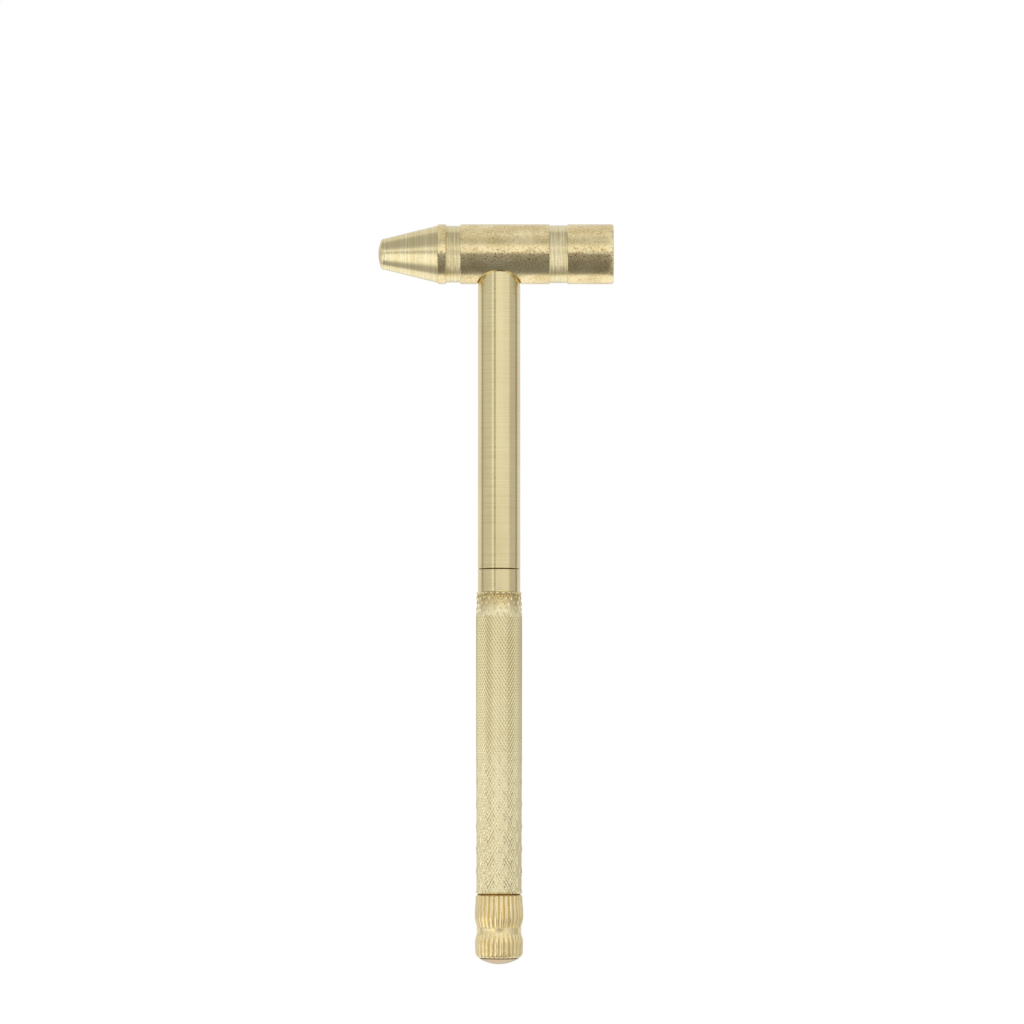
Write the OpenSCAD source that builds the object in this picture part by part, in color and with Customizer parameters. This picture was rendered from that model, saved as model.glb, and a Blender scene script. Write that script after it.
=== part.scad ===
// Brass bench hammer with four screwdrivers nested in its handle.
// Millimetres. +Z runs up the shaft and +X points from the shaft to the striking face.
// The origin is the lowest point of the tail dome, on the shaft's axis.
// Every driver sits inside the next larger one, and each is drawn out downwards.

/* [Overall] */
// Height from the tail dome to the top of the head
overall_h = 160; // [158:1:166]

/* [Head] */
// Length of the head from the nose to the striking face
head_len = 51; // [49:0.5:54]
// Diameter of the head's barrel
head_d = 13; // [12.4:0.2:14]
// Distance from the nose to the shaft's axis
nose_to_shaft = 26.2; // [25:0.1:28]
// Length of the tapered nose
nose_len = 12.9; // [10:0.1:13]
// Diameter of the nose at its rounded rim
nose_d = 6.8; // [5.6:0.2:8]
// Length of the plain ring behind the nose
ring_len = 1.8; // [1.4:0.1:3]
// Length of the groove band behind the ring
rear_band_len = 3.1; // [2:0.1:3.4]
// Length of the middle barrel, which the shaft enters
barrel_len = 19.3; // [18:0.1:21]
// Length of the groove band next to the striking end
front_band_len = 3.9; // [2:0.1:4.2]

/* [Shaft] */
// Outer diameter of the shaft tube and of the grip's collar
shaft_d = 9.2; // [9:0.1:9.6]
// Bore of the shaft tube, which houses the large blade
shaft_bore_d = 6.6; // [6:0.1:7]
// Diameter of the stud that screws the tube into the head
stud_d = 7; // [6:0.1:8]
// Height of the joint between the shaft tube and the grip
joint_z = 85.1; // [84:0.1:87]

/* [Grip] */
// Diameter over the knurl
grip_d = 10; // [9.8:0.1:10.6]
// Length of the plain collar above the knurl
collar_len = 4.9; // [3:0.1:6]
// Diameter of the threaded spigot that screws into the shaft tube
spigot_d = 7.6; // [7.4:0.1:7.7]
// Length of that spigot
spigot_len = 11; // [8:0.5:12]
// Bore of the grip, which houses the medium driver
grip_bore_d = 6.8; // [6.7:0.1:7]

/* [Tail knob] */
// Height of the knob from its dome to its top edge
knob_h = 14.5; // [14:0.1:15]
// Number of straight flutes around the knob
flute_count = 28; // [24:1:30]
// Diameter of the knob's threaded step that screws into the grip
grip_step_d = 7.9; // [7.7:0.1:8]
// Length of that step
grip_step_len = 5.5; // [5:0.5:6]
// Diameter of the step that screws into the medium barrel
medium_step_d = 4.9; // [4.8:0.1:5]
// Length of that step
medium_step_len = 4.5; // [4:0.5:5]
// Diameter of the step that screws into the small barrel
small_step_d = 2.9; // [2.8:0.1:3]
// Length of that step
small_step_len = 4; // [3.5:0.5:4.5]

/* [Nested drivers] */
// Diameter of the large blade's shank
large_blade_d = 5; // [4:0.1:5.2]
// Length of the large blade beyond the grip's spigot
large_reach = 48; // [40:1:48]
// Diameter of the medium barrel
medium_barrel_d = 6.4; // [6.3:0.1:6.5]
// Length of the medium barrel
medium_barrel_len = 39.5; // [38.5:0.5:40.5]
// Diameter of the medium blade's shank
medium_blade_d = 3; // [2.4:0.1:3.2]
// Length of the medium blade beyond its barrel
medium_reach = 11.5; // [10:0.5:11.5]
// Diameter of the small barrel
small_barrel_d = 4.1; // [4:0.1:4.2]
// Length of the small barrel
small_barrel_len = 17; // [16.5:0.5:17.5]
// Diameter of the small blade's shank
small_blade_d = 1.8; // [1.5:0.1:2]
// Length of the small blade beyond its barrel
small_reach = 10; // [8:0.5:10]
// Diameter of the fine blade's shank
fine_blade_d = 1.4; // [1:0.1:1.5]
// Length of the fine blade beyond the knob's last step
fine_reach = 7.5; // [6:0.5:7.5]

/* [Hidden] */
$fn = 96;

BRASS_AGED = "#a68d4e";
BRASS_SATIN = "#cdbf8c";
BRASS_MATT = "#d4c690";
BRASS_GOLD = "#d3b866";
STEEL = "#b9bcc0";

// Clearances: between seated end faces, and all round a thread or a sliding barrel
seat_gap = 0.05;
thread_gap = 0.05;
slide_gap = 0.2;
// Overshoot of a cutting shape past the face it opens
cut = 1;
tiny = 0.01;
edge_chamfer = 0.12;
end_chamfer = 0.4;

// Head
head_r = head_d / 2;
nose_r = nose_d / 2;
head_axis_z = overall_h - head_r;
nose_crown = 0.4;
nose_edge_r = 1;
nose_end_r = head_r - 0.25;
rear_band_r = head_r - 0.3;
front_band_r = head_r - 0.2;
// The shaft's shoulder seats below the head's axis, and the stud's blind hole ends above it
shoulder_z = head_axis_z - 4;
stud_top_z = head_axis_z + 3;

// Shaft and grip
shaft_r = shaft_d / 2;
grip_r = grip_d / 2;
spigot_r = spigot_d / 2;
tube_z = joint_z + seat_gap;
spigot_top_z = joint_z + spigot_len;
knurl_top_z = joint_z - collar_len;
// The tube's bore is blind, so that the stud stays solid
shaft_bore_top_z = shoulder_z - 2.5;

// Knob: a neck lets the thin dark gap show below the grip
neck_h = 0.5;
neck_r = shaft_r - 0.2;
neck_top_z = knob_h + neck_h;
grip_z = neck_top_z + seat_gap;
medium_step_z = neck_top_z + grip_step_len;
small_step_z = medium_step_z + medium_step_len;
step_top_z = small_step_z + small_step_len;
dome_r = 8;
lobe_low_r = 5.15;
lobe_high_r = 5.27;
waist_r = 4.75;
knob_top_r = 5;
flute_r = 0.42;
flute_root_r = 4.84;

// Nested drivers, from the tail upwards
medium_z = medium_step_z + seat_gap;
medium_top_z = medium_z + medium_barrel_len;
medium_tip_z = medium_top_z + medium_reach;
small_z = small_step_z + seat_gap;
small_top_z = small_z + small_barrel_len;
small_tip_z = small_top_z + small_reach;
fine_tip_z = step_top_z + fine_reach;
large_tip_z = spigot_top_z + large_reach;
// Each cavity ends this far above the tip it houses
tip_room = 1.5;
fine_tip_room = 1;
large_tang_z = joint_z - 8;
medium_tang_len = 4;
small_tang_len = 3;
fine_tang_len = 8;
// Length of each blade's flats and thickness of its tip
large_tip = [12, 0.9];
medium_tip = [7, 0.6];
small_tip = [4.5, 0.4];
fine_tip = [3.5, 0.3];

// Threads are rings of V grooves of this pitch and depth
coarse_pitch = 1;
coarse_depth = 0.4;
fine_pitch = 0.6;
fine_depth = 0.22;

// Points of an arc about (cx, cy) from angle a0 to a1
function arc(cx, cy, r, a0, a1, steps = 8) =
    [for (i = [0:steps]) let (a = a0 + (a1 - a0) * i / steps)
        [cx + r * cos(a), cy + r * sin(a)]];

// Points of a soft S from (r0, z0) to (r1, z1)
function blend(r0, z0, r1, z1, steps = 4) =
    [for (i = [0:steps]) let (t = i / steps)
        [r0 + (r1 - r0) * (1 - cos(180 * t)) / 2, z0 + (z1 - z0) * t]];

// Outline of a threaded length from z0 up to z1: V grooves with a plain end on both sides
function thread(r, z0, z1, pitch, depth) =
    let (turns = floor((z1 - z0) / pitch) - 1, start = z1 - (turns + 0.5) * pitch)
    concat([[r, z0]],
           [for (i = [0:turns - 1], k = [0:2])
               [r - (k == 1 ? depth : 0), start + (i + k * 0.45) * pitch]],
           [[r, z1 - depth], [r - depth, z1]]);

// Revolves an outline of (radius, height) points about Z
module turned(outline) {
    rotate_extrude() polygon(outline);
}

// A plain round hole from z0 to z1
module hole(r, z0, z1) {
    translate([0, 0, z0]) cylinder(r = r, h = z1 - z0);
}

// A screwdriver blade: round shank from z0 to z1 with two flats that taper to the tip
module blade(d, z0, z1, tip) {
    tip_len = tip[0];
    tip_t = tip[1];
    color(STEEL) difference() {
        translate([0, 0, z0]) cylinder(d = d, h = z1 - z0);
        for (side = [-1, 1])
            rotate([90, 0, 0])
                linear_extrude(d + cut, center = true)
                    polygon([[side * tip_t / 2, z1 + tiny], [side * d, z1 + tiny],
                             [side * d, z1 - tip_len], [side * d / 2, z1 - tip_len]]);
    }
}

// A driver's barrel: chamfered front, threaded mouth at the tail, cavity for the next driver
module barrel(r, z0, z1, mouth_r, mouth_len, cavity_r, cavity_z, tang_r, tang_len) {
    nose_taper = 2;
    nose_rim = 0.5;
    color(BRASS_SATIN) difference() {
        turned([[0, z0], [r - edge_chamfer, z0], [r, z0 + edge_chamfer], [r, z1 - nose_taper],
                [tang_r + nose_rim, z1], [0, z1]]);
        hole(mouth_r, z0 - cut, z0 + mouth_len);
        hole(cavity_r, z0 - cut, cavity_z);
        hole(tang_r, z1 - tang_len, z1 + cut);
    }
}

module hammer_head() {
    ring_s = nose_len + ring_len;
    rear_s = ring_s + rear_band_len;
    barrel_s = rear_s + barrel_len;
    front_s = barrel_s + front_band_len;
    crown_edge_r = nose_r - nose_edge_r;
    crown_r = (crown_edge_r * crown_edge_r + nose_crown * nose_crown) / (2 * nose_crown);
    crown_a = asin(crown_edge_r / crown_r);
    // (radius, distance from the nose)
    outline = concat(
        arc(0, crown_r, crown_r, -90, -90 + crown_a),
        arc(crown_edge_r, nose_crown + nose_edge_r, nose_edge_r, -60, 0),
        [[nose_end_r, nose_len], [head_r, nose_len], [head_r, ring_s],
         [rear_band_r, ring_s], [rear_band_r, rear_s],
         [head_r, rear_s], [head_r, barrel_s],
         [front_band_r, barrel_s], [front_band_r, front_s],
         [head_r, front_s], [head_r, head_len - end_chamfer],
         [head_r - end_chamfer, head_len], [0, head_len]]);
    color(BRASS_AGED) difference() {
        translate([-nose_to_shaft, 0, head_axis_z]) rotate([0, 90, 0]) turned(outline);
        hole(shaft_r, head_axis_z - head_r - cut, shoulder_z);
        hole(stud_d / 2, shoulder_z - cut, stud_top_z);
    }
}

module shaft_tube() {
    thread_len = spigot_len + cut;
    outline = concat(
        [[0, tube_z], [shaft_r - edge_chamfer, tube_z], [shaft_r, tube_z + edge_chamfer],
         [shaft_r, shoulder_z]],
        thread(stud_d / 2, shoulder_z, stud_top_z, coarse_pitch, coarse_depth),
        [[0, stud_top_z]]);
    color(BRASS_SATIN) difference() {
        turned(outline);
        hole(spigot_r + thread_gap, tube_z - cut, tube_z + thread_len);
        hole(shaft_bore_d / 2, tube_z - cut, shaft_bore_top_z);
    }
}

module grip_handle() {
    shoulder = (grip_r - shaft_r) / 2;
    body = concat(
        [[0, grip_z], [grip_r - end_chamfer, grip_z], [grip_r, grip_z + end_chamfer],
         [grip_r, knurl_top_z - shoulder], [shaft_r, knurl_top_z],
         [shaft_r, joint_z - edge_chamfer], [shaft_r - edge_chamfer, joint_z]],
        thread(spigot_r, joint_z, spigot_top_z, coarse_pitch, coarse_depth),
        [[0, spigot_top_z]]);
    color(BRASS_MATT) difference() {
        turned(body);
        hole(grip_step_d / 2 + thread_gap, grip_z - cut, medium_step_z + seat_gap);
        hole(grip_bore_d / 2, grip_z - cut, medium_tip_z + tip_room);
        hole(large_blade_d / 2, large_tang_z, spigot_top_z + cut);
    }
}

module large_blade() {
    blade(large_blade_d, large_tang_z, large_tip_z, large_tip);
}

module medium_barrel() {
    barrel(medium_barrel_d / 2, medium_z, medium_top_z,
           medium_step_d / 2 + thread_gap, medium_step_len + seat_gap,
           small_barrel_d / 2 + slide_gap, small_tip_z + tip_room,
           medium_blade_d / 2, medium_tang_len);
}

module medium_blade() {
    blade(medium_blade_d, medium_top_z - medium_tang_len, medium_tip_z, medium_tip);
}

module small_barrel() {
    barrel(small_barrel_d / 2, small_z, small_top_z,
           small_step_d / 2 + thread_gap, small_step_len + seat_gap,
           fine_blade_d / 2 + 2 * slide_gap, fine_tip_z + fine_tip_room,
           small_blade_d / 2, small_tang_len);
}

module small_blade() {
    blade(small_blade_d, small_top_z - small_tang_len, small_tip_z, small_tip);
}

module tail_knob() {
    dome_a = asin(lobe_low_r / dome_r);
    // The waist stands at half height, with the gentler slope below it
    lobe_low_z = 0.34 * knob_h;
    waist_z = [0.5 * knob_h, 0.55 * knob_h];
    lobe_high_z = [0.68 * knob_h, 0.85 * knob_h];
    outline = concat(
        arc(0, dome_r, dome_r, -90, -90 + dome_a),
        blend(lobe_low_r, lobe_low_z, waist_r, waist_z[0]),
        blend(waist_r, waist_z[1], lobe_high_r, lobe_high_z[0]),
        blend(lobe_high_r, lobe_high_z[1], knob_top_r, knob_h),
        [[neck_r, knob_h], [neck_r, neck_top_z]],
        thread(grip_step_d / 2, neck_top_z, medium_step_z, coarse_pitch, coarse_depth),
        thread(medium_step_d / 2, medium_step_z, small_step_z, fine_pitch, fine_depth),
        thread(small_step_d / 2, small_step_z, step_top_z, fine_pitch, fine_depth),
        [[0, step_top_z]]);
    color(BRASS_GOLD) difference() {
        turned(outline);
        for (i = [0:flute_count - 1])
            rotate([0, 0, i * 360 / flute_count])
                translate([flute_root_r + flute_r, 0, -cut])
                    cylinder(r = flute_r, h = knob_h + 2 * cut);
        hole(fine_blade_d / 2, step_top_z - fine_tang_len, step_top_z + cut);
    }
}

module fine_blade() {
    blade(fine_blade_d, step_top_z - fine_tang_len, fine_tip_z, fine_tip);
}

hammer_head();
shaft_tube();
grip_handle();
large_blade();
medium_barrel();
medium_blade();
small_barrel();
small_blade();
tail_knob();
fine_blade();
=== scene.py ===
# %% [markdown]
# # A brass hammer with screwdrivers inside its handle
# Everything here is turned on a lathe. A head sits across a tube, the tube screws to a knurled grip, and the
# grip holds three small screwdrivers, one inside the next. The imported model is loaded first: it says where
# each piece is and which body it moves with, and every piece made below takes its place from it.

# %% Load the frame
import math
import random

import bmesh
import bpy
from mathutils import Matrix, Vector


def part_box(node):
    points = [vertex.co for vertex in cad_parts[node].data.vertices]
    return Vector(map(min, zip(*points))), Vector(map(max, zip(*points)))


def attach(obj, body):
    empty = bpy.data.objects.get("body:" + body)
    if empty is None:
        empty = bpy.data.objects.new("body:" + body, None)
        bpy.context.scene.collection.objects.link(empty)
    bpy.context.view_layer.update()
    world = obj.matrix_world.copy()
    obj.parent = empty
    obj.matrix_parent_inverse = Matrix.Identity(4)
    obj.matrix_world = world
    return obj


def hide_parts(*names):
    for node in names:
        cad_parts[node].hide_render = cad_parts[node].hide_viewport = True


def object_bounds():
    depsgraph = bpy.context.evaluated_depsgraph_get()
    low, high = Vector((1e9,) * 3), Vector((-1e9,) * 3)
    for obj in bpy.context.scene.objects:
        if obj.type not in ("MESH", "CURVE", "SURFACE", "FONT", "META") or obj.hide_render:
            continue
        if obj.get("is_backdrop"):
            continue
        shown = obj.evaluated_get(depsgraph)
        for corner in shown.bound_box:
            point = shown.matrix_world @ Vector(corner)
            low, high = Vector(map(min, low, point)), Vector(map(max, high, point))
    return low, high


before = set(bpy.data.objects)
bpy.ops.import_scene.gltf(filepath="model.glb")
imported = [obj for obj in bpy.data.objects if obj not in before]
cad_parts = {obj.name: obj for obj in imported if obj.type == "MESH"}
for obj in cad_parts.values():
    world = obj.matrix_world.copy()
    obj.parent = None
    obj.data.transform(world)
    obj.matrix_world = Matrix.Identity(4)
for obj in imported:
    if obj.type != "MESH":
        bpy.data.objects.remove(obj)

cad_box = [list(corner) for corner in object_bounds()]
MM = 0.001
FULL_TURN = 2 * math.pi
print("CAD box, mm:", [[round(v / MM, 2) for v in corner] for corner in cad_box])

# %% Where the nodes are, in millimetres
def span(node):
    """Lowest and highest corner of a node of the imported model."""
    low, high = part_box(node)
    return low / MM, high / MM


HEAD_LOW, HEAD_HIGH = span("hammer_head")
HEAD_R = (HEAD_HIGH.z - HEAD_LOW.z) / 2
HEAD_Z = (HEAD_HIGH.z + HEAD_LOW.z) / 2
TUBE_LOW, TUBE_HIGH = span("shaft_tube")
TUBE_R = TUBE_HIGH.y
GRIP_LOW, GRIP_HIGH = span("grip_handle")
GRIP_R = GRIP_HIGH.y
KNOB_HIGH = span("tail_knob")[1]
print(f"head radius {HEAD_R:.2f}, axis at {HEAD_Z:.2f}; tube radius {TUBE_R:.2f}; grip radius {GRIP_R:.2f}")

# %% [markdown]
# ## Turning
# A lathe piece is half a section turned about an axis. The section is drawn point by point from one vertex,
# by extruding, and Spin sweeps it round. Where the section starts and ends on the axis the doubled points
# are merged, so the poles are closed, and the normals are worked out again because Spin can turn them in.

# %% Turning helpers
TURN_STEPS = 128
WELD = 0.002 * MM
SMOOTH_BELOW = math.radians(28)
LINE_GUARD = 0.12


def edit_mode():
    bpy.ops.object.mode_set(mode="EDIT")


def object_mode():
    bpy.ops.object.mode_set(mode="OBJECT")


def deselect_objects():
    bpy.ops.object.select_all(action="DESELECT")


def only(piece):
    """Makes one piece the selected and active one."""
    deselect_objects()
    piece.select_set(True)
    bpy.context.view_layer.objects.active = piece


def named(name):
    """Names the piece just added, and its mesh."""
    piece = bpy.context.active_object
    piece.name = piece.data.name = name
    return piece


def place_in_mesh(piece):
    """Puts the piece's place into its mesh, so its object sits at the origin."""
    only(piece)
    bpy.ops.object.transform_apply(location=True, rotation=True, scale=True)


def tidy_shell():
    """Merges doubles and turns every face outwards, in edit mode."""
    bpy.ops.mesh.select_all(action="SELECT")
    bpy.ops.mesh.remove_doubles(threshold=WELD)
    bpy.ops.mesh.normals_make_consistent(inside=False)


def smooth(piece):
    """Shades a piece smooth across every edge gentler than SMOOTH_BELOW."""
    only(piece)
    bpy.ops.object.shade_smooth_by_angle(angle=SMOOTH_BELOW)


def turned(name, section, centre=(0, 0, 0), axis=(0, 0, 1), steps=TURN_STEPS):
    """Spins a section, a list of (x, y, z) points in millimetres, round an axis."""
    deselect_objects()
    bpy.ops.mesh.primitive_plane_add(size=MM)
    piece = named(name)
    edit_mode()
    bpy.ops.mesh.merge(type="CENTER")
    points = [Vector(p) * MM for p in section]
    bpy.ops.transform.translate(value=points[0])
    for before, after in zip(points, points[1:]):
        bpy.ops.mesh.extrude_region_move(TRANSFORM_OT_translate={"value": after - before})
    bpy.ops.mesh.select_all(action="SELECT")
    bpy.ops.mesh.spin(steps=steps, angle=FULL_TURN, center=Vector(centre) * MM, axis=axis)
    tidy_shell()
    object_mode()
    smooth(piece)
    return piece


def upright(outline):
    """(radius, height) points as a section for an upright axis."""
    return [(r, 0, z) for r, z in outline]


def turned_line(r, z, depth, half_width):
    """A shallow line at height z, drawn upwards; a ring beside it keeps the shading next to it flat."""
    return [
        (r, z - LINE_GUARD),
        (r, z - half_width),
        (r - depth, z),
        (r, z + half_width),
        (r, z + LINE_GUARD),
    ]


def report(piece):
    """Prints the size of a finished piece and whether its shell is closed."""
    shell = bmesh.new()
    shell.from_mesh(piece.data)
    open_edges = sum(not e.is_manifold for e in shell.edges)
    triangles = sum(len(f.verts) - 2 for f in shell.faces)
    volume = shell.calc_volume(signed=True) / MM ** 3
    shell.free()
    size = [round(v / MM, 2) for v in piece.dimensions]
    print(f"{piece.name}: {triangles} triangles, {open_edges} open edges, {volume:.0f} mm3, {size} mm")


# %% [markdown]
# ## Threads
# A screw thread is one groove that winds up a cylinder. A ring of V grooves is easy to spin but never
# winds. So the threaded length is spun as a plain cylinder with many rings, and each vertex is then moved
# in by a depth that depends on its angle and height together. The groove fades at both ends, as a real one
# does where the tool leaves the work, and that keeps the shell closed.

# %% Threads
RINGS_A_PITCH = 6


def threaded_outline(r, z0, z1, pitch):
    """Plain rings, close enough to carry a thread, from z0 to z1."""
    count = round((z1 - z0) / pitch * RINGS_A_PITCH)
    return [(r, z0 + (z1 - z0) * i / count) for i in range(count + 1)]


def cut_thread(piece, r, z0, z1, pitch, depth, outwards=False):
    """Winds a V groove round the vertices of radius r between z0 and z1."""
    moved = 0
    for v in piece.data.vertices:
        x, y, z = v.co / MM
        radius = math.hypot(x, y)
        if abs(radius - r) > WELD / MM or not z0 < z < z1:
            continue
        wind = (z / pitch - math.atan2(y, x) / FULL_TURN) % 1
        fade = min(1, (z - z0) / pitch, (z1 - z) / pitch)
        drop = depth * fade * (1 - abs(2 * wind - 1))
        scale = (radius + drop if outwards else radius - drop) / radius
        v.co.x *= scale
        v.co.y *= scale
        moved += 1
    print(f"{piece.name}: thread of {pitch} mm pitch, {moved} vertices moved")


# %% [markdown]
# ## Head
# One bar of brass: a short blunt nose, a cone, a proud ring, then a barrel between two turned-down bands
# and a flat striking face. The cone keeps the fine ridges of the turning tool. It is one section turned
# about a level axis.

# %% Head section
NOSE_CROWN = 0.4
NOSE_EDGE_R = 1.0
NOSE_EDGE_FROM = -60
NOSE_EDGE_STEPS = 8
NOSE_R = 3.4
CROWN_RINGS = (0, 0.6, 1.2, 1.8)
CONE_END = 12.9
CONE_END_R = HEAD_R - 0.25
RING_END = 14.7
REAR_END = 17.8
REAR_R = HEAD_R - 0.3
BARREL_END = 37.1
FRONT_END = 41.0
FRONT_R = HEAD_R - 0.2
HEAD_LENGTH = HEAD_HIGH.x - HEAD_LOW.x
FACE_CHAMFER = 0.4
FACE_EDGE = 0.12
FACE_RINGS = (5, 3.5, 2, 0.8, 0)
EDGE = 0.1
RIDGE_PITCH = 0.3
RIDGE_DEPTH = 0.02
RIDGE_UNEVEN = (0.5, 1.2)
BAND_PITCH = 0.31
BAND_DEPTH = 0.07
BAND_UNEVEN = (0.7, 1.2)
BAND_CREST_DROP = 0.01
BAND_CREST_AT = 0.97
BAND_GAP = 0.02
RING_STEP = 0.7
BARREL_STEP = 1.4
chance = random.Random(11)


def stepped(s0, s1, r0, r1, step):
    """Points along a straight stretch, without its first point."""
    count = max(1, round((s1 - s0) / step))
    return [(s0 + (s1 - s0) * i / count, r0 + (r1 - r0) * i / count) for i in range(1, count + 1)]


def ridged(s0, s1, r):
    """A turned-down stretch left as fine uneven ridges, steep enough to catch light from the sides."""
    count = round((s1 - s0) / BAND_PITCH)
    points = [(s0, r)]
    for i in range(count):
        start = s0 + (s1 - s0) * i / count
        points += [
            (start + BAND_PITCH / 2, r - BAND_DEPTH * chance.uniform(*BAND_UNEVEN)),
            (start + BAND_PITCH * BAND_CREST_AT, r - BAND_CREST_DROP * chance.uniform(0, 1)),
        ]
    return points[:-1] + [(s1, r)]


def nose():
    """Crowned end and rounded edge, from the axis to the start of the cone."""
    crown_edge = NOSE_R - NOSE_EDGE_R
    points = [(NOSE_CROWN * (r / crown_edge) ** 2, r) for r in CROWN_RINGS + (crown_edge,)]
    for i in range(1, NOSE_EDGE_STEPS + 1):
        a = math.radians(NOSE_EDGE_FROM - NOSE_EDGE_FROM * i / NOSE_EDGE_STEPS)
        along = NOSE_CROWN + NOSE_EDGE_R * (1 + math.sin(a))
        points.append((along, crown_edge + NOSE_EDGE_R * math.cos(a)))
    return points


head_outline = nose()
cone_start = head_outline[-1][0]
ridges = int((CONE_END - cone_start) / RIDGE_PITCH)
for i in range(1, 2 * ridges):
    t = i / (2 * ridges)
    deep = RIDGE_DEPTH * chance.uniform(*RIDGE_UNEVEN) if i % 2 else 0
    cone_r = NOSE_R + t * (CONE_END_R - NOSE_R)
    head_outline.append((cone_start + t * (CONE_END - cone_start), cone_r - deep))
head_outline += [(CONE_END, CONE_END_R), (CONE_END + EDGE, HEAD_R)]
head_outline += stepped(CONE_END + EDGE, RING_END - EDGE, HEAD_R, HEAD_R, RING_STEP)
head_outline += [(RING_END, HEAD_R - EDGE)]
head_outline += ridged(RING_END + BAND_GAP, REAR_END - BAND_GAP, REAR_R)
head_outline += [(REAR_END, HEAD_R - EDGE), (REAR_END + EDGE, HEAD_R)]
head_outline += stepped(REAR_END + EDGE, BARREL_END - EDGE, HEAD_R, HEAD_R, BARREL_STEP)
head_outline += [(BARREL_END, HEAD_R - EDGE)]
head_outline += ridged(BARREL_END + BAND_GAP, FRONT_END - BAND_GAP, FRONT_R)
head_outline += [(FRONT_END, HEAD_R - EDGE), (FRONT_END + EDGE, HEAD_R)]
head_outline += stepped(FRONT_END + EDGE, HEAD_LENGTH - FACE_CHAMFER, HEAD_R, HEAD_R, BARREL_STEP)
head_outline += [(HEAD_LENGTH - FACE_EDGE, HEAD_R - EDGE), (HEAD_LENGTH, HEAD_R - FACE_CHAMFER)]
head_outline += [(HEAD_LENGTH, r) for r in FACE_RINGS]
print(f"head section: {len(head_outline)} points, {ridges} ridges on the cone")

# %% Head
HEAD_STEPS = 176
head = turned(
    "turned_head",
    [(HEAD_LOW.x + s, 0, HEAD_Z + r) for s, r in head_outline],
    centre=(0, 0, HEAD_Z),
    axis=(1, 0, 0),
    steps=HEAD_STEPS,
)
report(head)

# %% [markdown]
# ## Cross hole
# The tube seats in a blind hole bored across the head, and a narrower hole above takes its stud. The
# mouth of the hole is broken with a chamfer. On a round bar that chamfer is a saddle, widest between the
# front and the sides: the cutter's rings are moved to the head's own curve in code, and the cutter is
# then taken out of the head.

# %% Cross hole
SHOULDER_Z = HEAD_Z - 4
STUD_R = 3.5
STUD_TOP_Z = HEAD_Z + 3
HOLE_PLAY = 0.03
SINK = 0.26
SINK_FRONT = 0.12
SINK_BETWEEN = 0.36
FLARE = 0.26
FLARE_FRONT = 0.24
FLARE_BETWEEN = 0.5
CUTTER_SIDES = 96
CUTTER_CLEAR = 2
OUTSIDE_HEAD = 1.8
FIRST_MOVE = 0.1


def saddle(y):
    """Height of the head's underside at a distance y from its axis."""
    return HEAD_Z - math.sqrt(HEAD_R ** 2 - min(abs(y), HEAD_R - 0.01) ** 2)


def chamfer_point(turn, beyond):
    """(radius, height) on the chamfer: 0 at its inner edge, 1 at its outer edge, more outside the head."""
    front = math.sin(turn) ** 2
    hole_r = TUBE_R + HOLE_PLAY
    slanting = math.sin(2 * turn) ** 2
    outer_r = hole_r + FLARE + FLARE_FRONT * front + FLARE_BETWEEN * slanting
    inner_z = saddle(hole_r * math.sin(turn)) + SINK + SINK_FRONT * front + SINK_BETWEEN * slanting
    outer_z = saddle(outer_r * math.sin(turn))
    return hole_r + (outer_r - hole_r) * beyond, inner_z + (outer_z - inner_z) * beyond


def hole_cutter():
    """A closed stepped plug with a saddle-shaped flare where it meets the head's underside."""
    hole_r = TUBE_R + HOLE_PLAY
    rings = [  # radius and height, or how far along the chamfer
        (TUBE_R + CUTTER_CLEAR, HEAD_Z - HEAD_R - CUTTER_CLEAR),
        OUTSIDE_HEAD,
        0,
        (hole_r, SHOULDER_Z),
        (STUD_R, SHOULDER_Z),
        (STUD_R, STUD_TOP_Z),
    ]
    deselect_objects()
    first_r, first_z = rings[0]
    bpy.ops.mesh.primitive_circle_add(
        vertices=CUTTER_SIDES, radius=first_r * MM, fill_type="NGON", location=(0, 0, first_z * MM)
    )
    cutter = named("hole_cutter")
    place_in_mesh(cutter)
    edit_mode()
    bpy.ops.mesh.select_all(action="SELECT")
    for ring in rings[1:]:
        bpy.ops.mesh.extrude_region_move(TRANSFORM_OT_translate={"value": (0, 0, FIRST_MOVE * MM)})
        shell = bmesh.from_edit_mesh(cutter.data)
        for v in (v for v in shell.verts if v.select):
            turn = math.atan2(v.co.y, v.co.x)
            r, z = ring if isinstance(ring, tuple) else chamfer_point(turn, ring)
            v.co = Vector((r * math.cos(turn), r * math.sin(turn), z)) * MM
        bmesh.update_edit_mesh(cutter.data)
    bpy.ops.mesh.select_all(action="SELECT")
    bpy.ops.mesh.normals_make_consistent(inside=False)
    object_mode()
    return cutter


def combine(piece, other, operation):
    """Applies a Boolean with the other piece, then removes that piece."""
    only(piece)
    modifier = piece.modifiers.new("cut", "BOOLEAN")
    modifier.operation = operation
    modifier.solver = "EXACT"
    modifier.object = other
    bpy.ops.object.modifier_apply(modifier=modifier.name)
    bpy.data.objects.remove(other)


combine(head, hole_cutter(), "DIFFERENCE")
smooth(head)
report(head)

# %% [markdown]
# ## Shaft tube
# A plain tube, left with the fine rings of its last pass. Its top is reduced to a threaded stud, the bore
# below is blind so that the stud is solid, and its mouth is tapped for the grip. One section covers the
# outside and the inside.

# %% Shaft tube
TAP_R = 3.85
TAP_TOP = TUBE_LOW.z + 12
BORE_R = 3.3
BORE_TOP = SHOULDER_Z - 2.5
COARSE = 1.0
COARSE_DEPTH = 0.38
FINE = 0.6
FINE_DEPTH = 0.2
RIM = 0.15
STUD_CHAMFER = 0.4
RUN_OUT = 0.5
TAP_DEPTH = 0.3
TUBE_RING = 4
TUBE_RINGS = 15
SEAT = 0.02

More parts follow.
